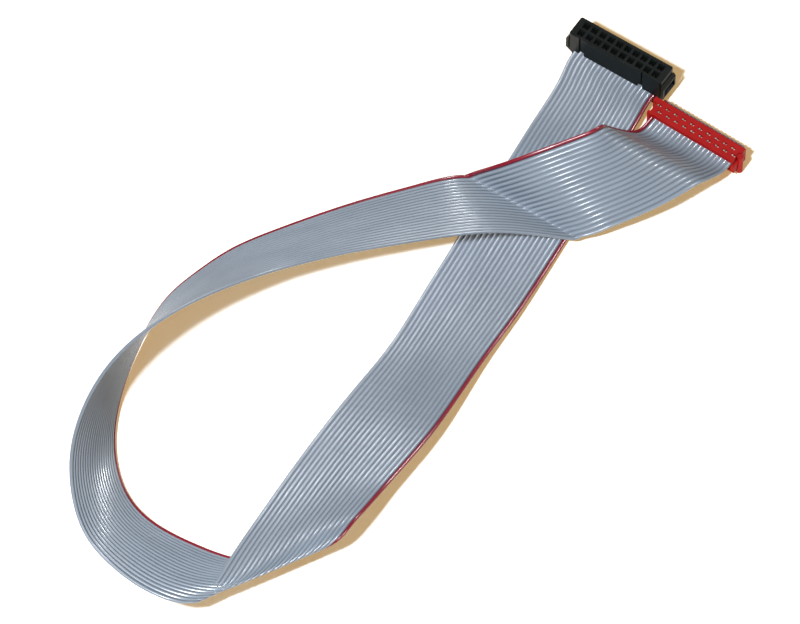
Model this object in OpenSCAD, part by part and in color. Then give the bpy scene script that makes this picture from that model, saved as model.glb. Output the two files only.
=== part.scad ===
// Ribbon cable: twenty bonded wires lying in a loose loop, with a 2 x 10 socket on one end
// and a 20-way staggered micro plug on the other. Millimetres, +Z up, standing on Z = 0.

/* [Ribbon] */
// Number of wires, an even number
ways = 20; // [16:2:24]
// Distance from wire to wire
pitch = 1.27; // [1.1:0.01:1.4]
// Thickness over a wire
wire_t = 0.9; // [0.7:0.05:1.1]
// Thickness of the web between two wires
web_t = 0.4; // [0.2:0.05:0.6]

/* [Socket] */
// Depth of the socket across its two rows
socket_depth = 6.1; // [5.6:0.1:7]
// Height of the body above the ribbon
socket_body_h = 6.85; // [6:0.05:9]
// Height of the cover under the ribbon
socket_cover_h = 2.75; // [2.3:0.05:4]
// Length of the body beyond the ribbon's edge, at each end
socket_end = 1.4; // [1:0.05:3]
// Distance between the two rows of cavities
socket_row_gap = 2.54; // [2.3:0.01:3]
// Width of a square cavity
cavity_w = 1.3; // [1.15:0.05:1.4]
// Width of a cavity's flared mouth
mouth_w = 1.9; // [1.5:0.05:2]
// Depth of the flared mouth
mouth_h = 0.5; // [0.3:0.05:0.8]
// Length of the cover beyond the ribbon's edge, at each end
cover_end = 0.6; // [0.5:0.05:1]
// Distance of a latch arm from the socket's front and back
latch_inset = 0.1; // [0:0.05:0.6]
// Thickness of a latch arm
latch_t = 0.8; // [0.5:0.05:1.2]
// Height of a latch arm above the cover
latch_h = 5.8; // [4.5:0.1:6.8]
// Height of the slope at the top of a latch arm
latch_slope = 1; // [0.4:0.1:1.2]
// Height of the slope at the foot of a latch arm
foot_slope = 1.2; // [0.6:0.1:1.6]
// Width of a latch arm at each side of its window
window_side = 0.5; // [0.4:0.1:1.2]
// Height of the window in a latch arm
window_h = 3.2; // [1.5:0.1:3.4]
// Width of the catch in the window
catch_w = 1.6; // [1:0.1:2.4]
// Width of the wide groove in the front wall
wide_groove_w = 0.8; // [0.5:0.05:1.2]
// Distance of the wide groove from the ribbon's plain edge
wide_groove_at = 2.1; // [1.2:0.1:3]
// Width of the narrow groove in the front wall
narrow_groove_w = 0.4; // [0.2:0.05:0.8]
// Distance of the narrow groove from the ribbon's marked edge
narrow_groove_at = 4.4; // [3:0.1:6]
// Depth of both grooves
groove_depth = 0.4; // [0.2:0.05:0.6]
// Width of the relief at the foot of each groove
relief_w = 1.5; // [1:0.1:2]
// Height of the relief at the foot of each groove
relief_h = 1.3; // [0.3:0.05:2]

/* [Plug] */
// Depth of the plug across its two rows
plug_depth = 5.2; // [4.8:0.1:6.5]
// Height of the legs and the peg under the housing
plug_leg_h = 2.2; // [1.6:0.1:3]
// Height of the housing under the ribbon
plug_housing_h = 2.85; // [2.4:0.05:4]
// Thickness of the cover over the ribbon
plug_cover_t = 1.25; // [0.8:0.05:2]
// Length of the plug beyond the ribbon's edge, at each end
plug_end = 0.9; // [0.6:0.05:1.5]
// Distance between the two rows of slots
plug_row_gap = 1.78; // [1.5:0.01:2.2]
// Length of a slot in the cover
slot_l = 1.2; // [0.8:0.05:1.4]
// Width of a slot in the cover
slot_w = 0.65; // [0.4:0.05:0.8]
// Diameter of the end post
post_d = 1.7; // [1.2:0.1:2]
// Diameter of the peg under the post, which keys the plug
peg_d = 1.7; // [1:0.1:2]

/* [Contacts] */
// Thickness of the metal that the contacts are stamped from
stock_t = 0.25; // [0.15:0.05:0.35]
// Width of a wire fork
fork_w = 1; // [0.8:0.05:1.1]
// Width of the gap in a wire fork
fork_gap = 0.3; // [0.2:0.05:0.4]
// Depth of the gap in a wire fork
fork_depth = 1.3; // [0.8:0.1:1.6]
// Width of the gap between the tines that grip a post
tine_gap = 0.5; // [0.4:0.05:0.6]
// Width of a leg under the plug
leg_w = 0.7; // [0.5:0.05:0.9]

/* [Clearances] */
// Gap between a contact and the walls beside it
contact_gap = 0.05; // [0.03:0.01:0.1]
// Gap between a latch arm and the body's end, and between a post and the hole that it sits in
seat_gap = 0.1; // [0.05:0.01:0.2]
// Length of ribbon that stands out behind the socket
socket_tail = 0.3; // [0.1:0.05:1]
// Length of ribbon that stands out behind the plug
plug_tail = 1.2; // [0.3:0.05:1.6]

/* [Hidden] */
eps = 0.01;

// --- Colours ---
wire_grey = [0.55, 0.59, 0.64];
wire_red = [0.62, 0.14, 0.2];
socket_black = [0.12, 0.125, 0.13];
plug_red = [0.74, 0.14, 0.1];
tin = [0.72, 0.7, 0.66];

// --- Ribbon section ---
ribbon_w = ways * pitch;
// thickness of the ribbon's two cut edges
edge_t = 0.3;
round_fn = 48;

// --- Where the connectors lie: centre on the ground and turn of the row ---
socket_at = [53.5, 77.5];
socket_turn = -34;
plug_at = [72.5, 55];
plug_turn = -35.5;

// --- Heights ---
socket_wire_z = socket_cover_h + wire_t / 2;
socket_body_z = socket_cover_h + wire_t;
socket_top_z = socket_body_z + socket_body_h;
plug_wire_z = plug_leg_h + plug_housing_h + wire_t / 2;
plug_cover_z = plug_leg_h + plug_housing_h + wire_t;
plug_top_z = plug_cover_z + plug_cover_t;

// --- The ribbon's route between its connectors ---
// Each row is a pair of points on one straight line across the ribbon, on its plain edge and on its
// marked edge, at the middle of its thickness. A row slants where the ribbon bends along a slanting line.
// The rows were laid for a ribbon this wide and this thick:
route_w = 25.4;
route_t = 0.9;
route = [
    // down from the socket, its plain edge along the ground
    [[37, 72, 2.75], [58, 59.5, 3.5]],
    [[30, 60.5, 2.25], [52, 49, 3]],
    [[23.5, 48.5, 1], [45.5, 36.5, 2]],
    [[16, 36.5, 0.5], [38.5, 23.5, 1.75]],
    [[10, 24.5, 0.5], [32, 11.5, 2.25]],
    [[3.5, 12.5, 0.75], [26, 0.5, 3]],
    [[-2, 1.5, 1], [19.5, -9.5, 3.75]],
    [[-7, -7.5, 1], [13, -21.5, 5.5]],
    [[-14, -18, 2.5], [6, -35, 8]],
    // the crease where it turns back on itself
    [[-21, -29, 4.25], [-1, -45, 9]],
    [[-29.5, -42.5, 4.75], [-7, -53, 9.5]],
    [[-38.5, -58, 5.25], [-11, -59.5, 11.5]],
    [[-47, -74, 8], [-14.5, -64.5, 13]],
    [[-52, -86.5, 10], [-17.5, -68.5, 10.5]],
    [[-58.5, -87.5, 11.5], [-27, -70, 5.5]],
    [[-68, -83, 12], [-40.5, -70.5, 1.5]],
    // up and round, standing on the marked edge
    [[-75.5, -77, 13.5], [-53.5, -65, 1.5]],
    [[-81.5, -70.5, 15.5], [-65, -58.5, 1]],
    [[-84.5, -62, 19], [-71.5, -50.5, 0.5]],
    [[-85.5, -51, 22.5], [-74.5, -41.5, 0.5]],
    [[-82.5, -39, 25], [-75.5, -31, 1]],
    [[-76, -27, 27], [-73.5, -19, 2]],
    [[-66.5, -17, 27], [-69, -5.5, 3]],
    [[-56, -8.5, 25.5], [-63, 6.5, 4.5]],
    [[-45.5, -1.5, 22.5], [-54.5, 14.5, 4]],
    [[-35.5, 4.5, 19.5], [-46.5, 21.5, 4]],
    [[-26, 8, 18.5], [-35, 26.5, 4.5]],
    [[-18, 10.5, 18], [-24, 31, 5]],
    [[-9, 13, 17], [-12.5, 35.5, 5]],
    // down across the first run, to a sharp slanting crease
    [[3, 16.5, 15], [0, 39.5, 5]],
    [[21.5, 21.5, 12.5], [7, 42, 5]],
    [[40.5, 23, 4.5], [11.5, 43.5, 4]],
    [[42, 24, 3.5], [12.5, 43.5, 3.5]],
    [[43, 24, 4.5], [14.5, 44.5, 4]],
    // up over a hump and down into the plug
    [[46.5, 24.5, 5], [21, 40, 14]],
    [[50.5, 25.5, 7], [41.5, 45.5, 19.5]],
    [[63, 30, 9], [45, 46, 21]],
    [[73.5, 37.5, 9.5], [47.5, 48, 21]],
    [[75.5, 39, 8], [48.5, 50, 16.5]],
    [[77, 40.5, 7.5], [56.5, 55, 5.5]]
];

// Straight rows in each connector: at the ribbon's end, in the middle, at the front face and ahead of it
straight_rows = 4;

// Place of straight row i along the depth of a connector
function straight_y(i, depth, tail) = depth / 2 + tail - i * (depth + tail) / 2;

// A point of a connector's own frame, in the part's frame
function placed(at, turn, p) =
    [at.x + cos(turn) * p.x - sin(turn) * p.y, at.y + sin(turn) * p.x + cos(turn) * p.y, p.z];

socket_rows = [for (i = [0:straight_rows - 1])
    let (y = straight_y(i, socket_depth, socket_tail))
        [for (side = [-1, 1]) placed(socket_at, socket_turn, [side * ribbon_w / 2, y, socket_wire_z])]];

plug_rows = [for (i = [straight_rows - 1:-1:0])
    let (y = straight_y(i, plug_depth, plug_tail))
        [for (side = [1, -1]) placed(plug_at, plug_turn, [side * ribbon_w / 2, y, plug_wire_z])]];

// A row of the route, stretched to the ribbon's width, with its lower edge kept off the ground
function fitted(row) =
    let (mid = (row[0] + row[1]) / 2,
         half = (row[1] - row[0]) / 2 * ribbon_w / route_w,
         rise = abs(half.z) * (1 - route_w / ribbon_w) + (wire_t - route_t) / 2)
        [mid - half + [0, 0, rise], mid + half + [0, 0, rise]];

rows = concat(socket_rows, [for (row = route) fitted(row)], plug_rows);
last = len(rows) - 1;

// The rows smoothed into an even curve; straight stretches stay where they are
edges = [for (i = [0:last])
    i == 0 || i == last ? rows[i] : (rows[i - 1] + 4 * rows[i] + rows[i + 1]) / 6];

function middle(row) = (row[0] + row[1]) / 2;
function unit(v) = v / norm(v);

// Outward direction of the ribbon's upper face at row i
function face_dir(i) =
    unit(cross(middle(edges[min(i + 1, last)]) - middle(edges[max(i - 1, 0)]), edges[i][1] - edges[i][0]));

// Point of row i, share of the way from the plain edge to the marked one, height from the middle
function ribbon_point(i, share, h) =
    edges[i][0] + share * (edges[i][1] - edges[i][0]) + h * face_dir(i);

// Section of wires a to b as [share, half thickness], from web to crest to web
function section(a, b) = [for (k = [2 * a:2 * b])
    [k / 2 / ways,
     (k % 2 == 1 ? wire_t : k == 0 || k == 2 * ways ? edge_t : web_t) / 2]];

// Closed ring of row i through a section: over the top and back underneath
function ring(i, profile) = concat(
    [for (p = profile) ribbon_point(i, p[0], p[1])],
    [for (k = [len(profile) - 1:-1:0]) ribbon_point(i, profile[k][0], -profile[k][1])]);

// The wires from a to b as one solid along the whole route
module wires(a, b) {
    profile = section(a, b);
    m = len(profile);
    n = 2 * m;
    sides = [for (i = [0:last - 1], j = [0:n - 1])
        let (k = (j + 1) % n, p = i * n + j, q = i * n + k)
            // both solids split their shared web the same way
            each j == n - 1 ? [[p, q + n, q], [p, p + n, q + n]] : [[p, p + n, q], [q, p + n, q + n]]];
    caps = [for (j = [0:m - 2])
        let (j2 = n - 1 - j, end = last * n)
            each [[j, j + 1, j2], [j + 1, j2 - 1, j2],
                  [end + j, end + j2, end + j + 1], [end + j + 1, end + j2, end + j2 - 1]]];
    polyhedron([for (i = [0:last]) each ring(i, profile)], concat(sides, caps));
}

module ribbon() {
    color(wire_grey) wires(0, ways - 1);
}

module marker_wire() {
    color(wire_red) wires(ways - 1, ways);
}

// --- Shared by both connectors ---

// Puts what is drawn in a connector's own frame where that connector lies
module at_connector(at, turn) {
    translate([at.x, at.y, 0]) rotate([0, 0, turn]) children();
}

// Place of wire j across the ribbon
function wire_x(j) = (j + 0.5) * pitch - ribbon_w / 2;

// Outline of a rectangle with its corners cut off
function chamfered(size, corner) =
    let (x = size.x / 2, y = size.y / 2)
        [[corner - x, -y], [x - corner, -y], [x, corner - y], [x, y - corner],
         [x - corner, y], [corner - x, y], [-x, y - corner], [-x, corner - y]];

// Draws an outline given as [along the row, height], as a plate of this thickness standing on edge
module upright(thickness) {
    rotate([90, 0, 0]) linear_extrude(thickness, center = true) children();
}

// --- Socket ---
socket_l = ribbon_w + 2 * socket_end;
socket_corner = 0.35;
cavities = ways / 2;
// faces of the latch arms, and of the shoulders inside them, from the middle of the socket
arm_in = socket_l / 2 + seat_gap;
arm_out = arm_in + latch_t;
shoulder_in = ribbon_w / 2 + seat_gap;
arm_top_z = socket_cover_h + latch_h;
arm_tip_t = 0.2;
// height of the strip of a latch arm above its window
window_frame = 1.3;
window_top_z = arm_top_z - window_frame;
// how far the shoulders and arms are let into the cover
arm_root = 0.2;
catch_h = 1.2;
catch_lip_h = 0.4;
catch_reach = 0.8 * latch_t;
// relief of a groove: its depth, and how far its middle lies from the groove's
relief_depth = 0.9;
relief_shift = 0.45;
// pockets beside the cavities for the wire forks, and under them in the cover for their points
pocket_h = 2.6;
cover_pocket_h = 1.2;
// strip that joins a wire fork to its post tines
bridge_z = 1.7;
bridge_h = 0.7;
tine_clear = 0.3;

// Place of cavity k along the row, and of the row with this side
function cavity_x(k) = (wire_x(2 * k) + wire_x(2 * k + 1)) / 2;
function socket_row_y(side) = side * socket_row_gap / 2;

// A square mouth that narrows to the cavity
module mouth() {
    profile = [[-cavity_w / 2, -mouth_h], [cavity_w / 2, -mouth_h], [mouth_w / 2, 0],
               [mouth_w / 2, eps], [-mouth_w / 2, eps], [-mouth_w / 2, 0]];
    intersection() {
        upright(mouth_w) polygon(profile);
        rotate([0, 0, 90]) upright(mouth_w) polygon(profile);
    }
}

// Groove down the front wall, with a relief over the ribbon at its foot, towards the middle
module front_groove(x, w) {
    front = -socket_depth / 2;
    translate([x - w / 2, front - eps, socket_body_z - eps])
        cube([w, groove_depth + eps, socket_body_h + 2 * eps]);
    translate([x - sign(x) * relief_shift - relief_w / 2, front - eps, socket_body_z - eps])
        cube([relief_w, relief_depth + eps, relief_h + eps]);
}

module socket_body() {
    color(socket_black) at_connector(socket_at, socket_turn) {
        difference() {
            translate([0, 0, socket_body_z])
                linear_extrude(socket_body_h) polygon(chamfered([socket_l, socket_depth], socket_corner));
            for (k = [0:cavities - 1], side = [-1, 1])
                translate([cavity_x(k), socket_row_y(side), 0]) {
                    translate([-cavity_w / 2, -cavity_w / 2, socket_body_z - eps])
                        cube([cavity_w, cavity_w, socket_body_h + 2 * eps]);
                    translate([0, 0, socket_top_z]) mouth();
                    translate([side * pitch / 2 - fork_w / 2 - contact_gap, -stock_t / 2 - contact_gap,
                               socket_body_z - eps])
                        cube([fork_w + 2 * contact_gap, stock_t + 2 * contact_gap, pocket_h]);
                }
            front_groove(wide_groove_at - ribbon_w / 2, wide_groove_w);
            front_groove(ribbon_w / 2 - narrow_groove_at, narrow_groove_w);
        }
        // the catches that the latch arms snap over
        for (end = [-1, 1])
            translate([end * socket_l / 2, 0, window_top_z])
                upright(catch_w)
                    polygon([[-end * eps, 0], [end * catch_reach, 0], [end * catch_reach, -catch_lip_h],
                             [-end * eps, -catch_h]]);
    }
}

// A latch arm on the shoulder that carries the body's end, as an outline to the right of the middle
function arm_outline() =
    let (root_z = socket_cover_h - arm_root)
        [[shoulder_in, root_z], [ribbon_w / 2 + cover_end, root_z], [arm_out, root_z + foot_slope],
         [arm_out, arm_top_z - latch_slope], [arm_in + arm_tip_t, arm_top_z], [arm_in, arm_top_z],
         [arm_in, socket_body_z], [shoulder_in, socket_body_z]];

module socket_cover() {
    latch_w = socket_depth - 2 * latch_inset;
    color(socket_black) at_connector(socket_at, socket_turn) {
        difference() {
            union() {
                linear_extrude(socket_cover_h)
                    polygon(chamfered([ribbon_w + 2 * cover_end, socket_depth], socket_corner));
                for (end = [-1, 1])
                    upright(latch_w) polygon([for (p = arm_outline()) [end * p.x, p.y]]);
            }
            for (end = [-1, 1])
                translate([end * (arm_in + arm_out) / 2, 0, window_top_z - window_h / 2])
                    cube([latch_t + 2 * eps, latch_w - 2 * window_side, window_h], center = true);
            // room for the points of the wire forks
            for (k = [0:cavities - 1], side = [-1, 1])
                translate([cavity_x(k) + side * pitch / 2, socket_row_y(side), socket_cover_h])
                    cube([fork_w, 2 * stock_t, 2 * cover_pocket_h], center = true);
        }
    }
}

// Wire fork with its points down at height 0, drawn as an outline of this height
function fork_outline(h) =
    let (w = fork_w / 2, g = fork_gap / 2, point = (w + g) / 2)
        [[-w, h], [-w, point], [-point, 0], [-g, point - g], [-g, fork_depth], [g, fork_depth],
         [g, point - g], [point, 0], [w, point], [w, h]];

// One contact, seen from the front: wire fork below, post tines above; side gives the fork's offset
module socket_contact(side) {
    reach = cavity_w / 2 - contact_gap;
    tine_top = socket_body_h - mouth_h - tine_clear;
    tine_w = reach - tine_gap / 2;
    upright(stock_t) {
        translate([side * pitch / 2, 0]) polygon(fork_outline(bridge_z + bridge_h));
        translate([side > 0 ? -reach : -pitch / 2, bridge_z]) square([reach + pitch / 2, bridge_h]);
        for (tine = [-1, 1])
            polygon([[tine * reach, bridge_z + eps], [tine * reach, tine_top - tine_w],
                     [tine * (reach - tine_w / 2), tine_top], [tine * tine_gap / 2, tine_top - 2 * tine_w],
                     [tine * (tine_gap / 2 + tine_w / 3), bridge_z + bridge_h + tine_w],
                     [tine * (tine_gap / 2 + tine_w / 3), bridge_z + eps]]);
    }
}

module socket_contacts() {
    color(tin) at_connector(socket_at, socket_turn)
        for (k = [0:cavities - 1], side = [-1, 1])
            translate([cavity_x(k), socket_row_y(side), socket_body_z]) socket_contact(side);
}

// --- Plug ---
plug_base_z = plug_leg_h + plug_housing_h;
plug_half = ribbon_w / 2 + plug_end;
far_wing = 0.7;
// walls left beside the ribbon at the notch and at the corner by the post
notch_wall = 0.35;
corner_wall = 0.2;
notch_floor = ribbon_w / 2 + notch_wall;
notch_near_y = -1.9;
notch_far_y = 1.2;
near_corner = ribbon_w / 2 + corner_wall;
post_drop = 0.2;
peg_tip_h = 0.5;
peg_tip_d = 0.7 * peg_d;
// legs, and the chambers that they move in
leg_row_gap = 2.54;
leg_clear = 0.1;
chamber_slack = 0.2;
fork_h = 1.8;

// Row of wire j in the plug: the far row takes the even ones
function plug_row(j) = j % 2 == 0 ? 1 : -1;

// The plug's outline seen from above; its near corner by the post reaches this far
function plug_outline(corner_x) =
    let (y = plug_depth / 2)
        [[-plug_half, -y], [corner_x, -y], [corner_x, 0], [plug_half, 0], [plug_half, y],
         [-plug_half - far_wing, y], [-plug_half - far_wing, notch_far_y], [-notch_floor, notch_far_y],
         [-notch_floor, notch_near_y], [-plug_half, notch_near_y]];

module plug_cover() {
    color(plug_red) at_connector(plug_at, plug_turn)
        difference() {
            translate([0, 0, plug_base_z])
                linear_extrude(plug_top_z - plug_base_z) polygon(plug_outline(near_corner));
            // the ribbon's way through, up to its upper face
            translate([0, 0, plug_base_z + wire_t / 2])
                cube([ribbon_w + 2 * seat_gap, plug_depth + 2 * eps, wire_t], center = true);
            for (j = [0:ways - 1])
                translate([wire_x(j), plug_row(j) * plug_row_gap / 2, plug_top_z - plug_cover_t / 2])
                    cube([slot_l, slot_w, plug_cover_t + 2 * eps], center = true);
            translate([plug_half, 0, plug_base_z - eps])
                cylinder(d = post_d + 2 * seat_gap, h = plug_top_z, $fn = round_fn);
        }
}

module plug_housing() {
    chamber_y = (leg_row_gap / 2 + plug_row_gap / 2) / 2;
    chamber_w = (leg_row_gap - plug_row_gap) / 2 + stock_t + 2 * chamber_slack;
    color(plug_red) at_connector(plug_at, plug_turn) {
        difference() {
            translate([0, 0, plug_leg_h])
                linear_extrude(plug_housing_h) polygon(plug_outline(plug_half - eps));
            for (j = [0:ways - 1])
                translate([wire_x(j), plug_row(j) * chamber_y, plug_leg_h + plug_housing_h / 2])
                    cube([fork_w + 2 * contact_gap, chamber_w, plug_housing_h + 2 * eps], center = true);
        }
        // the end post, and the peg under it that keys the plug
        translate([plug_half, 0, 0]) {
            cylinder(d1 = peg_tip_d, d2 = peg_d, h = peg_tip_h, $fn = round_fn);
            translate([0, 0, peg_tip_h])
                cylinder(d = peg_d, h = plug_leg_h - peg_tip_h, $fn = round_fn);
            translate([0, 0, plug_leg_h])
                cylinder(d = post_d, h = plug_top_z - post_drop - plug_leg_h, $fn = round_fn);
        }
    }
}

// One contact on the side of this row: wire fork above, springy leg below
module plug_contact(row) {
    fork_y = row * plug_row_gap / 2;
    leg_y = row * leg_row_gap / 2;
    half = row * stock_t / 2;
    bend_z = plug_base_z - fork_h;
    translate([0, fork_y, plug_base_z]) mirror([0, 0, 1]) upright(stock_t) polygon(fork_outline(fork_h));
    rotate([90, 0, 90]) linear_extrude(leg_w, center = true)
        polygon([[fork_y - half, bend_z + stock_t], [fork_y + half, bend_z + stock_t],
                 [leg_y + half, bend_z - stock_t], [leg_y + half, leg_clear + 2 * stock_t],
                 [fork_y + half, leg_clear], [fork_y - half, leg_clear],
                 [leg_y - half, leg_clear + 3 * stock_t], [leg_y - half, bend_z - stock_t]]);
}

module plug_contacts() {
    color(tin) at_connector(plug_at, plug_turn)
        for (j = [0:ways - 1])
            translate([wire_x(j), 0, 0]) plug_contact(plug_row(j));
}

ribbon();
marker_wire();
socket_body();
socket_cover();
socket_contacts();
plug_housing();
plug_cover();
plug_contacts();
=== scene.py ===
"""Looks of a ribbon cable: twenty bonded wires lying in a loose loop, with a socket on one end
and a staggered micro plug on the other. Metres, +Z up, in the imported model's frame."""
import math

import bpy
import numpy as np
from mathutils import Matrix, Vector


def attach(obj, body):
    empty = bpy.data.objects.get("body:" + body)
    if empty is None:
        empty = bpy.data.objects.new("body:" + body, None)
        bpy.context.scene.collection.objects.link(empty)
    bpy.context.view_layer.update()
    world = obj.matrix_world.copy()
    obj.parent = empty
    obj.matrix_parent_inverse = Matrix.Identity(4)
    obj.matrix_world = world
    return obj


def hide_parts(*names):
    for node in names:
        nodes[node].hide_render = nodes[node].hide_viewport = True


MM = 0.001

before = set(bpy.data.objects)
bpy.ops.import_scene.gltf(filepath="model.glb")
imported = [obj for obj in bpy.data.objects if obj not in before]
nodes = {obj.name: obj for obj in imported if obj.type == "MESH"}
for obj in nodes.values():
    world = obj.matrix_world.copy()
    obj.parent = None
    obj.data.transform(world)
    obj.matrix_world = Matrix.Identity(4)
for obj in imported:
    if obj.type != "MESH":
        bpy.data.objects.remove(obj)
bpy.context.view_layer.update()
scene = bpy.context.scene


# --- Camera ---

# The point that the view is centred on, its distance, how steeply it looks down, and the width that
# it takes in at that distance.
VIEW_TARGET = Vector((-0.0035, 0.0045, 0.0))
VIEW_DISTANCE = 1.8
VIEW_ELEVATION = math.radians(58)
VIEW_WIDTH = 0.2028
VIEW_FAR = 10
SENSOR_WIDTH = 36


def make_camera():
    """Looks along +Y and down, from far off, so that the view is nearly parallel."""
    data = bpy.data.cameras.new("camera")
    data.sensor_width = SENSOR_WIDTH
    data.lens = SENSOR_WIDTH * VIEW_DISTANCE / VIEW_WIDTH
    data.clip_end = VIEW_FAR
    camera = bpy.data.objects.new("camera", data)
    back = Vector((0, -math.cos(VIEW_ELEVATION), math.sin(VIEW_ELEVATION)))
    camera.location = VIEW_TARGET + VIEW_DISTANCE * back
    camera.rotation_euler = (-back).to_track_quat("-Z", "Y").to_euler()
    scene.collection.objects.link(camera)
    scene.camera = camera


make_camera()


# --- The ribbon's route, as in the CAD source ---

WAYS = 20
PITCH = 1.27 * MM
WIRE_R = 0.45 * MM
WEB_HALF = 0.2 * MM
RIBBON_W = WAYS * PITCH

# Of each connector: its middle, its turn, its depth along the wires, how far the wires run on past
# its back face, and the height of their middles.
SOCKET_AT = (0.0535, 0.0775)
SOCKET_TURN = math.radians(-34)
SOCKET_DEPTH = 6.1 * MM
SOCKET_TAIL = 0.3 * MM
SOCKET_WIRE_Z = 3.2 * MM
PLUG_AT = (0.0725, 0.055)
PLUG_TURN = math.radians(-35.5)
PLUG_DEPTH = 5.2 * MM
PLUG_TAIL = 1.2 * MM
PLUG_WIRE_Z = 5.5 * MM
STRAIGHT_ROWS = 4

# Rings of the mesh from a row to the next.
STEPS = 6

# Each row is a pair of points on one straight line across the ribbon, on its plain edge and on its
# marked edge. A row slants where the ribbon bends along a slanting line.
ROUTE = [
    # down from the socket, its plain edge along the ground
    ((0.037, 0.072, 0.00275), (0.058, 0.0595, 0.0035)),
    ((0.03, 0.0605, 0.00225), (0.052, 0.049, 0.003)),
    ((0.0235, 0.0485, 0.001), (0.0455, 0.0365, 0.002)),
    ((0.016, 0.0365, 0.0005), (0.0385, 0.0235, 0.00175)),
    ((0.01, 0.0245, 0.0005), (0.032, 0.0115, 0.00225)),
    ((0.0035, 0.0125, 0.00075), (0.026, 0.0005, 0.003)),
    ((-0.002, 0.0015, 0.001), (0.0195, -0.0095, 0.00375)),
    ((-0.007, -0.0075, 0.001), (0.013, -0.0215, 0.0055)),
    ((-0.014, -0.018, 0.0025), (0.006, -0.035, 0.008)),
    # the crease where it turns back on itself
    ((-0.021, -0.029, 0.00425), (-0.001, -0.045, 0.009)),
    ((-0.0295, -0.0425, 0.00475), (-0.007, -0.053, 0.0095)),
    ((-0.0385, -0.058, 0.00525), (-0.011, -0.0595, 0.0115)),
    ((-0.047, -0.074, 0.008), (-0.0145, -0.0645, 0.013)),
    ((-0.052, -0.0865, 0.01), (-0.0175, -0.0685, 0.0105)),
    ((-0.0585, -0.0875, 0.0115), (-0.027, -0.07, 0.0055)),
    ((-0.068, -0.083, 0.012), (-0.0405, -0.0705, 0.0015)),
    # up and round, standing on the marked edge
    ((-0.0755, -0.077, 0.0135), (-0.0535, -0.065, 0.0015)),
    ((-0.0815, -0.0705, 0.0155), (-0.065, -0.0585, 0.001)),
    ((-0.0845, -0.062, 0.019), (-0.0715, -0.0505, 0.0005)),
    ((-0.0855, -0.051, 0.0225), (-0.0745, -0.0415, 0.0005)),
    ((-0.0825, -0.039, 0.025), (-0.0755, -0.031, 0.001)),
    ((-0.076, -0.027, 0.027), (-0.0735, -0.019, 0.002)),
    ((-0.0665, -0.017, 0.027), (-0.069, -0.0055, 0.003)),
    ((-0.056, -0.0085, 0.0255), (-0.063, 0.0065, 0.0045)),
    ((-0.0455, -0.0015, 0.0225), (-0.0545, 0.0145, 0.004)),
    ((-0.0355, 0.0045, 0.0195), (-0.0465, 0.0215, 0.004)),
    ((-0.026, 0.008, 0.0185), (-0.035, 0.0265, 0.0045)),
    ((-0.018, 0.0105, 0.018), (-0.024, 0.031, 0.005)),
    ((-0.009, 0.013, 0.017), (-0.0125, 0.0355, 0.005)),
    # down across the first run, to a sharp slanting crease
    ((0.003, 0.0165, 0.015), (0.0, 0.0395, 0.005)),
    ((0.0215, 0.0215, 0.0125), (0.007, 0.042, 0.005)),
    ((0.0405, 0.023, 0.0045), (0.0115, 0.0435, 0.004)),
    ((0.042, 0.024, 0.0035), (0.0125, 0.0435, 0.0035)),
    ((0.043, 0.024, 0.0045), (0.0145, 0.0445, 0.004)),
    # up over a hump and down into the plug
    ((0.0465, 0.0245, 0.005), (0.021, 0.04, 0.014)),
    ((0.0505, 0.0255, 0.007), (0.0415, 0.0455, 0.0195)),
    ((0.063, 0.03, 0.009), (0.045, 0.046, 0.021)),
    ((0.0735, 0.0375, 0.0095), (0.0475, 0.048, 0.021)),
    ((0.0755, 0.039, 0.008), (0.0485, 0.05, 0.0165)),
    ((0.077, 0.0405, 0.0075), (0.0565, 0.055, 0.0055)),
]


def placed(at, turn, x, y, z):
    """A point of a connector's own frame, in the part's frame."""
    c, s = math.cos(turn), math.sin(turn)
    return (at[0] + c * x - s * y, at[1] + s * x + c * y, z)


def straight_rows(at, turn, depth, tail, z, plain_side):
    """The rows at a connector: at the wires' cut end, half way in, at its front face and ahead of it."""
    half = plain_side * RIBBON_W / 2
    ys = [depth / 2 + tail - i * (depth + tail) / 2 for i in range(STRAIGHT_ROWS)]
    return [(placed(at, turn, half, y, z), placed(at, turn, -half, y, z)) for y in ys]


def ribbon_rows():
    """All rows, from the cut end in the socket to the cut end in the plug."""
    socket = straight_rows(SOCKET_AT, SOCKET_TURN, SOCKET_DEPTH, SOCKET_TAIL, SOCKET_WIRE_Z, -1)
    plug = straight_rows(PLUG_AT, PLUG_TURN, PLUG_DEPTH, PLUG_TAIL, PLUG_WIRE_Z, 1)
    return np.array(socket + ROUTE + plug[::-1])


def spline(rows, steps):
    """Uniform cubic B-spline along the rows' edges: its points and directions, with this many steps
    from a row to the next."""
    ends = np.concatenate([[2 * rows[0] - rows[1]], rows, [2 * rows[-1] - rows[-2]]])
    u = np.arange(steps)[:, None] / steps
    weight = np.hstack([(1 - u) ** 3, 3 * u**3 - 6 * u**2 + 4,
                        -3 * u**3 + 3 * u**2 + 3 * u + 1, u**3]) / 6
    slope = np.hstack([-(1 - u) ** 2, 3 * u**2 - 4 * u, -3 * u**2 + 2 * u + 1, u**2]) / 2
    points = [np.tensordot(weight, ends[i:i + 4], 1) for i in range(len(rows) - 1)]
    slopes = [np.tensordot(slope, ends[i:i + 4], 1) for i in range(len(rows) - 1)]
    return np.concatenate(points + [rows[-1:]]), np.concatenate(slopes + [rows[-1:] - rows[-2:-1]])


edge_points, edge_slopes = spline(ribbon_rows(), STEPS)
centre_line = edge_points.mean(1)


# --- Materials ---

# The part of a noise's range over which a colour changes, and the depths of the surfaces' relief.
TONE_LOW = 0.3
TONE_HIGH = 0.7
STREAK_DEPTH = 0.02 * MM
GRAIN_DEPTH = 0.03 * MM


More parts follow.
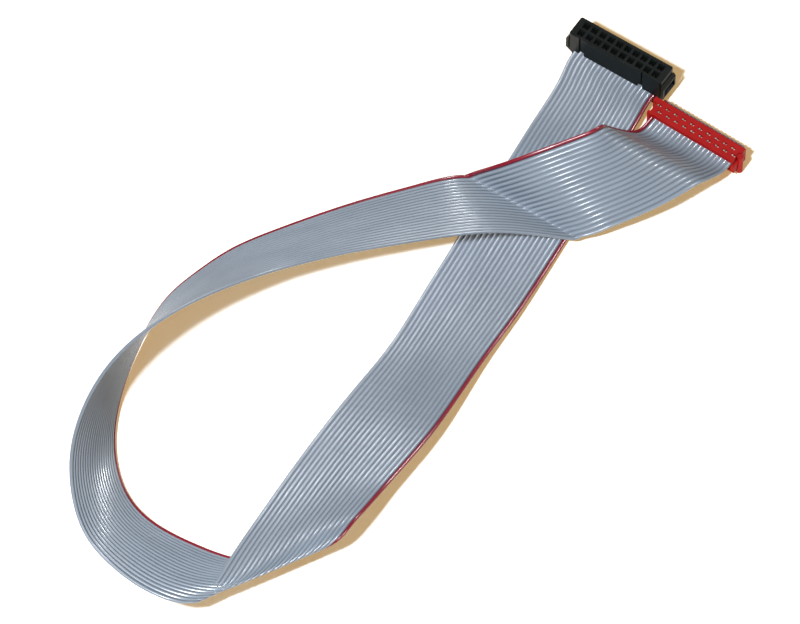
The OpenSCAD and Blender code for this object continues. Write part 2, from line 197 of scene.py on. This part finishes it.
def material(name, base, roughness):
    """A new node material, with its node tree and its shader."""
    made = bpy.data.materials.new(name)
    made.use_nodes = True
    tree = made.node_tree
    shader = tree.nodes["Principled BSDF"]
    shader.inputs["Base Color"].default_value = (*base, 1)
    shader.inputs["Roughness"].default_value = roughness
    return made, tree, shader


def noise(tree, vector, scale, detail=2.0):
    node = tree.nodes.new("ShaderNodeTexNoise")
    node.inputs["Scale"].default_value = scale
    node.inputs["Detail"].default_value = detail
    tree.links.new(vector, node.inputs["Vector"])
    return node.outputs["Fac"]


def stretched(tree, vector, scale):
    """The vector with each of its axes multiplied by a scale of its own."""
    node = tree.nodes.new("ShaderNodeMapping")
    node.inputs["Scale"].default_value = scale
    tree.links.new(vector, node.inputs["Vector"])
    return node.outputs["Vector"]


def coordinates(tree):
    return tree.nodes.new("ShaderNodeTexCoord").outputs["Object"]


def ramp(tree, factor, low, high, first, last):
    """Blends from the first colour to the last as the factor goes from low to high."""
    node = tree.nodes.new("ShaderNodeValToRGB")
    node.color_ramp.elements[0].position = low
    node.color_ramp.elements[0].color = (*first, 1)
    node.color_ramp.elements[1].position = high
    node.color_ramp.elements[1].color = (*last, 1)
    tree.links.new(factor, node.inputs["Fac"])
    return node.outputs["Color"]


def span(tree, factor, low, high):
    """The factor, which runs from 0 to 1, mapped to the range from low to high."""
    node = tree.nodes.new("ShaderNodeMapRange")
    node.inputs["To Min"].default_value = low
    node.inputs["To Max"].default_value = high
    tree.links.new(factor, node.inputs["Value"])
    return node.outputs["Result"]


def bump(tree, height, distance, strength):
    node = tree.nodes.new("ShaderNodeBump")
    node.inputs["Distance"].default_value = distance
    node.inputs["Strength"].default_value = strength
    tree.links.new(height, node.inputs["Height"])
    return node.outputs["Normal"]


def attribute(tree, name):
    node = tree.nodes.new("ShaderNodeAttribute")
    node.attribute_name = name
    return node.outputs["Vector"]


def maths(tree, operation, first, second=None):
    """A Math node; each operand is a number or a socket."""
    node = tree.nodes.new("ShaderNodeMath")
    node.operation = operation
    for slot, value in zip(node.inputs, (first, second)):
        if isinstance(value, bpy.types.NodeSocket):
            tree.links.new(value, slot)
        elif value is not None:
            slot.default_value = value
    return node.outputs[0]


def web_share(tree, flow):
    """0 at the middle of each wire and 1 at the middle of the web between two wires. The Y of flow is
    the share of the ribbon's width."""
    parts = tree.nodes.new("ShaderNodeSeparateXYZ")
    tree.links.new(flow, parts.inputs[0])
    place = maths(tree, "FRACT", maths(tree, "MULTIPLY", parts.outputs["Y"], WAYS))
    return maths(tree, "ABSOLUTE", maths(tree, "SUBTRACT", maths(tree, "MULTIPLY", place, 2), 1))


def multiplied(tree, first, second):
    """Two colours multiplied."""
    node = tree.nodes.new("ShaderNodeMix")
    node.data_type = "RGBA"
    node.blend_type = "MULTIPLY"
    node.inputs["Factor"].default_value = 1
    colours = [slot for slot in node.inputs if slot.type == "RGBA"]
    tree.links.new(first, colours[0])
    tree.links.new(second, colours[1])
    return next(slot for slot in node.outputs if slot.type == "RGBA")


def insulation(name, dark, light, valley_shade):
    """Extruded PVC: dull webs darkened by painted shade, faint lengthwise streaks, a slow change of tone
    along each wire, glossy crests. The last argument is the painted shade, a tone that multiplies the
    colour in the webs."""
    made, tree, shader = material(name, light, roughness=0.25)
    flow = attribute(tree, "flow")
    tone = noise(tree, stretched(tree, flow, (18, 1, 1)), scale=3.0)
    streaks = noise(tree, stretched(tree, flow, (40, 26, 1)), scale=4.0, detail=3.0)
    across = web_share(tree, flow)
    plain = ramp(tree, tone, TONE_LOW, TONE_HIGH, dark, light)
    # Painted shade: the colour darkens towards the middle of each web, in the valleys between the wires,
    # where shade would fall.
    painted_valley_shade = ramp(tree, across, low=0.5, high=0.95, first=(1, 1, 1), last=valley_shade)
    tree.links.new(multiplied(tree, plain, painted_valley_shade), shader.inputs["Base Color"])
    crests = span(tree, streaks, low=0.17, high=0.24)
    dull = maths(tree, "MULTIPLY", maths(tree, "POWER", across, 4), 0.4)
    tree.links.new(maths(tree, "ADD", crests, dull), shader.inputs["Roughness"])
    tree.links.new(bump(tree, streaks, STREAK_DEPTH, strength=0.5), shader.inputs["Normal"])
    return made


def moulded(name, dark, light, roughness, gloss):
    """Injection-moulded plastic: a fine spark-eroded grain and a little unevenness of gloss."""
    made, tree, shader = material(name, light, roughness)
    shader.inputs["Specular IOR Level"].default_value = gloss
    where = coordinates(tree)
    tone = noise(tree, where, scale=260.0, detail=3.0)
    fine = noise(tree, where, scale=5200.0)
    tree.links.new(ramp(tree, tone, TONE_LOW, TONE_HIGH, dark, light), shader.inputs["Base Color"])
    tree.links.new(span(tree, tone, roughness - 0.06, roughness + 0.08), shader.inputs["Roughness"])
    tree.links.new(bump(tree, fine, GRAIN_DEPTH, strength=0.6), shader.inputs["Normal"])
    return made


def plated(name):
    """Tin-plated spring strip, dulled and faintly streaked by the stamping."""
    made, tree, shader = material(name, base=(0.3, 0.27, 0.23), roughness=0.4)
    shader.inputs["Metallic"].default_value = 1
    where = coordinates(tree)
    brushed = noise(tree, stretched(tree, where, (1, 1, 12)), scale=1500.0, detail=3.0)
    shade = ramp(tree, brushed, TONE_LOW, TONE_HIGH, (0.2, 0.18, 0.15), (0.36, 0.33, 0.28))
    tree.links.new(shade, shader.inputs["Base Color"])
    tree.links.new(span(tree, brushed, low=0.28, high=0.5), shader.inputs["Roughness"])
    tree.links.new(bump(tree, brushed, STREAK_DEPTH, strength=0.4), shader.inputs["Normal"])
    return made


def copper_strand(name):
    """Bare cut copper, a little oxidised."""
    made, tree, shader = material(name, base=(0.7, 0.38, 0.2), roughness=0.35)
    shader.inputs["Metallic"].default_value = 1
    tarnish = noise(tree, coordinates(tree), scale=2500.0)
    shade = ramp(tree, tarnish, 0.35, TONE_HIGH, (0.32, 0.17, 0.09), (0.75, 0.42, 0.24))
    tree.links.new(shade, shader.inputs["Base Color"])
    tree.links.new(span(tree, tarnish, low=0.3, high=0.55), shader.inputs["Roughness"])
    return made


# The last tone of each insulation is painted shade for the valleys between its wires.
grey_pvc = insulation("grey_pvc", dark=(0.197, 0.23, 0.272), light=(0.236, 0.273, 0.32),
                      valley_shade=(0.42, 0.43, 0.46))
red_pvc = insulation("red_pvc", dark=(0.17, 0.006, 0.018), light=(0.23, 0.009, 0.026),
                     valley_shade=(0.6, 0.5, 0.5))
socket_plastic = moulded("socket_plastic", dark=(0.0035, 0.005, 0.0045), light=(0.0055, 0.0075, 0.007),
                         roughness=0.35, gloss=0.12)
plug_plastic = moulded("plug_plastic", dark=(0.29, 0.002, 0.002), light=(0.34, 0.004, 0.003),
                       roughness=0.5, gloss=0.1)
contact_metal = plated("contact_metal")
copper = copper_strand("copper")


# --- Meshes ---

def add_mesh(name, vertices, faces, smooth, finish):
    """A mesh object of one material. smooth says for each face whether it is shaded smooth."""
    data = bpy.data.meshes.new(name)
    data.from_pydata([tuple(v) for v in vertices], [], faces)
    data.polygons.foreach_set("use_smooth", smooth)
    data.materials.append(finish)
    data.update()
    made = bpy.data.objects.new(name, data)
    scene.collection.objects.link(made)
    return made


# --- Ribbon ---

# Points on the upper half of a wire, the angle at which a web leaves it, half of the web's waist, and
# the height under which a point counts as on the middle plane.
ARC_POINTS = 8
WEB_ANGLE = math.asin(WEB_HALF / WIRE_R)
WEB_WAIST = 0.12 * MM
ON_PLANE = 1e-9


def wire_arc(j, start, end):
    """Points of wire j's upper half as (share across the ribbon, height), between two angles."""
    angles = np.linspace(start, end, ARC_POINTS)
    return [((j + 0.5 + math.cos(a) * WIRE_R / PITCH) / WAYS, math.sin(a) * WIRE_R) for a in angles]


def upper_profile(first, past):
    """Upper outline of wires first to past - 1, from the plain side to the marked side. Each web has a
    narrower waist half way between its wires."""
    profile = []
    for j in range(first, past):
        start = math.pi if j == 0 else math.pi - WEB_ANGLE
        end = 0 if j == WAYS - 1 else WEB_ANGLE
        if j == first and j > 0:
            profile.append((j / WAYS, WEB_WAIST))
        profile += wire_arc(j, start, end)
        if j < past - 1 or past < WAYS:
            profile.append(((j + 1) / WAYS, WEB_WAIST))
    return profile


def closed_profile(first, past):
    """The whole outline: over the top and back underneath, with points on the middle plane used once."""
    upper = [(share, h if h > ON_PLANE else 0.0) for share, h in upper_profile(first, past)]
    lower = [(share, -h) for share, h in reversed(upper) if h > 0]
    return np.array(upper + lower)


def sweep(profile):
    """The profile's points at every step of the route, as an array of rings."""
    share, height = profile[:, 0], profile[:, 1]
    plain, marked = edge_points[:, 0], edge_points[:, 1]
    across = marked - plain
    points = plain[:, None] + share[None, :, None] * across[:, None]
    slopes = edge_slopes[:, :1] + share[None, :, None] * (edge_slopes[:, 1:] - edge_slopes[:, :1])
    normal = np.cross(slopes, np.broadcast_to(across[:, None], slopes.shape))
    normal /= np.linalg.norm(normal, axis=2, keepdims=True)
    return points + height[None, :, None] * normal


def ribbon_piece(name, first, past, finish):
    """Wires first to past - 1 and their webs as one closed mesh. Its flow attribute gives each point's
    way along the ribbon in metres, its share of the ribbon's width, and its side of the middle plane."""
    profile = closed_profile(first, past)
    rings = sweep(profile)
    count, size = rings.shape[:2]
    faces = []
    for i in range(count - 1):
        for k in range(size):
            a, b = i * size + k, i * size + (k + 1) % size
            faces.append((a, a + size, b + size, b))
    sides = len(faces)
    faces.append(tuple(range(size)))
    faces.append(tuple(reversed(range((count - 1) * size, count * size))))
    smooth = [True] * sides + [False] * 2
    made = add_mesh(name, rings.reshape(-1, 3), faces, smooth, finish)
    steps = np.linalg.norm(np.diff(centre_line, axis=0), axis=1)
    along = np.concatenate([[0], np.cumsum(steps)])
    flow = np.zeros((count, size, 3), np.float32)
    flow[..., 0] = along[:, None]
    flow[..., 1] = profile[None, :, 0]
    flow[..., 2] = np.sign(profile[None, :, 1])
    made.data.attributes.new("flow", "FLOAT_VECTOR", "POINT").data.foreach_set("vector", flow.ravel())
    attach(made, "root")
    return made


ribbon = ribbon_piece("ribbon_wires", 0, WAYS - 1, grey_pvc)
marker = ribbon_piece("marker_insulation", WAYS - 1, WAYS, red_pvc)
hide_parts("ribbon")
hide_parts("marker_wire")


# --- Connectors ---

SOCKET_BEVEL = 0.08 * MM
PLUG_BEVEL = 0.05 * MM
BEVEL_SEGMENTS = 2
BEVEL_ANGLE = math.radians(40)


def dress(node, finish, bevel):
    """Gives a CAD node its finish, and rounds its sharp edges if bevel isn't 0."""
    piece = nodes[node]
    piece.data.materials.clear()
    piece.data.materials.append(finish)
    if bevel:
        softened = piece.modifiers.new("soft_edges", "BEVEL")
        softened.width = bevel
        softened.segments = BEVEL_SEGMENTS
        softened.limit_method = "ANGLE"
        softened.angle_limit = BEVEL_ANGLE
        softened.harden_normals = True


dress("socket_body", socket_plastic, SOCKET_BEVEL)
dress("socket_cover", socket_plastic, SOCKET_BEVEL)
dress("plug_housing", plug_plastic, PLUG_BEVEL)
dress("plug_cover", plug_plastic, PLUG_BEVEL)
dress("socket_contacts", contact_metal, 0)
dress("plug_contacts", contact_metal, 0)


# --- Tips of the plug's contacts, standing in the slots of its cover ---

# The distance between the two rows; each prong's width and thickness, the gap between a fork's
# prongs, the height of their tops, and how much lower the second prong's top is.
PLUG_ROW_GAP = 1.78 * MM
TIP_W = 0.42 * MM
TIP_T = 0.35 * MM
TIP_GAP = 0.2 * MM
TIP_TOP = 7.0 * MM
TIP_DROP = 0.25 * MM
TIP_FACES = [(3, 2, 1, 0), (4, 5, 6, 7), (0, 1, 5, 4), (1, 2, 6, 5), (2, 3, 7, 6), (3, 0, 4, 7)]


def tip(x, y, side):
    """Corners of one of a fork's two prongs, at side -1 or 1 of the wire that it holds."""
    top = TIP_TOP - (TIP_DROP if side > 0 else 0)
    left, right = x - TIP_W / 2, x + TIP_W / 2
    front, back = y - TIP_T / 2, y + TIP_T / 2
    outline = [(left, front), (right, front), (right, back), (left, back)]
    return [placed(PLUG_AT, PLUG_TURN, px, py, pz) for pz in (PLUG_WIRE_Z, top) for px, py in outline]


def contact_tips():
    """Two prongs for each wire, in two staggered rows."""
    vertices, faces = [], []
    for j in range(WAYS):
        x = (j + 0.5) * PITCH - RIBBON_W / 2
        y = PLUG_ROW_GAP / 2 * (1 if j % 2 == 0 else -1)
        for side in (-1, 1):
            base = len(vertices)
            vertices += tip(x + side * (TIP_GAP + TIP_W) / 2, y, side)
            faces += [tuple(base + k for k in face) for face in TIP_FACES]
    made = add_mesh("plug_contact_tips", vertices, faces, [False] * len(faces), contact_metal)
    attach(made, "root")
    return made


tips = contact_tips()


# --- Cut ends of the wires ---

# Strands in a wire, the radius and the sides of each, and how far it stands out of the cut face.
STRANDS = 7
STRAND_R = 0.064 * MM
STRAND_SIDES = 8
STRAND_PROUD = 0.03 * MM
UP = np.array((0.0, 0.0, 1.0))


def ring(count, radius):
    """Points evenly round a circle, as (across the ribbon, up)."""
    angles = np.arange(count) * math.tau / count
    return [(radius * math.cos(a), radius * math.sin(a)) for a in angles]


def strand_ends(name, rows, outward):
    """The copper strands of every wire, one in the middle and the others round it, as short pins that
    stand just proud of a cut face."""
    plain, marked = rows
    across = (marked - plain) / RIBBON_W
    vertices, faces = [], []
    for j in range(WAYS):
        middle = plain + across * (j + 0.5) * PITCH
        for dx, dz in [(0.0, 0.0)] + ring(STRANDS - 1, 2 * STRAND_R):
            inner = list(range(len(vertices), len(vertices) + STRAND_SIDES))
            outer = [k + STRAND_SIDES for k in inner]
            for lift in (-STRAND_PROUD, STRAND_PROUD):
                for px, pz in ring(STRAND_SIDES, STRAND_R):
                    vertices.append(middle + across * (dx + px) + UP * (dz + pz) + outward * lift)
            for k in range(STRAND_SIDES):
                after = (k + 1) % STRAND_SIDES
                faces.append((inner[k], inner[after], outer[after], outer[k]))
            faces.append(tuple(outer))
            faces.append(tuple(reversed(inner)))
    made = add_mesh(name, vertices, faces, [False] * len(faces), copper)
    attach(made, "root")
    return made


def outward_of(points):
    """The unit direction out of a line's first end."""
    way = points[0] - points[1]
    return way / np.linalg.norm(way)


strand_ends("socket_end_strands", edge_points[0], outward_of(centre_line))
plug_strands = strand_ends("plug_end_strands", edge_points[-1], outward_of(centre_line[::-1]))


# --- Floor and light ---

FLOOR_HALF = 3
FLOOR_COLOUR = (0.9, 0.9, 0.9)
FLOOR_GLOW = (1.0, 0.62, 0.2)
FLOOR_GLOW_STRENGTH = 0.36
LAMP_DISTANCE = 1.4


def make_floor():
    """A wide pale floor at the height that the cable lies on, with a faint warm glow that shows in the
    shadows."""
    made, tree, shader = material("floor", FLOOR_COLOUR, roughness=0.9)
    shader.inputs["Specular IOR Level"].default_value = 0.1
    shader.inputs["Emission Color"].default_value = (*FLOOR_GLOW, 1)
    shader.inputs["Emission Strength"].default_value = FLOOR_GLOW_STRENGTH
    corners = [(x * FLOOR_HALF, y * FLOOR_HALF, 0) for x, y in ((-1, -1), (1, -1), (1, 1), (-1, 1))]
    floor = add_mesh("floor", corners, [(0, 1, 2, 3)], [False], made)


def make_light(name, azimuth, elevation, size, power, colour, gloss_only=False):
    """A square lamp that shines at the middle of the view. Azimuth 0 is behind the part, 90 to its
    right. With gloss_only it is seen in highlights alone, and casts no shadow."""
    data = bpy.data.lights.new(name, "AREA")
    data.size = size
    data.energy = power
    data.color = colour
    data.use_shadow = not gloss_only
    lamp = bpy.data.objects.new(name, data)
    lamp.visible_diffuse = not gloss_only
    a, e = math.radians(azimuth), math.radians(elevation)
    towards = Vector((math.sin(a) * math.cos(e), math.cos(a) * math.cos(e), math.sin(e)))
    lamp.location = VIEW_TARGET + LAMP_DISTANCE * towards
    lamp.rotation_euler = (-towards).to_track_quat("-Z", "Y").to_euler()
    scene.collection.objects.link(lamp)


def make_surroundings(colour, strength):
    world = bpy.data.worlds.new("surroundings")
    world.use_nodes = True
    background = world.node_tree.nodes["Background"]
    background.inputs["Color"].default_value = (*colour, 1)
    background.inputs["Strength"].default_value = strength
    scene.world = world


make_floor()
make_light("key", azimuth=-150, elevation=59, size=0.1, power=31, colour=(0.88, 0.94, 1.0))
make_light("back", azimuth=45, elevation=58, size=0.08, power=15, colour=(0.92, 0.96, 1.0),
           gloss_only=True)
make_surroundings(colour=(1.0, 0.82, 0.6), strength=0.2)
scene.view_settings.view_transform = "Standard"
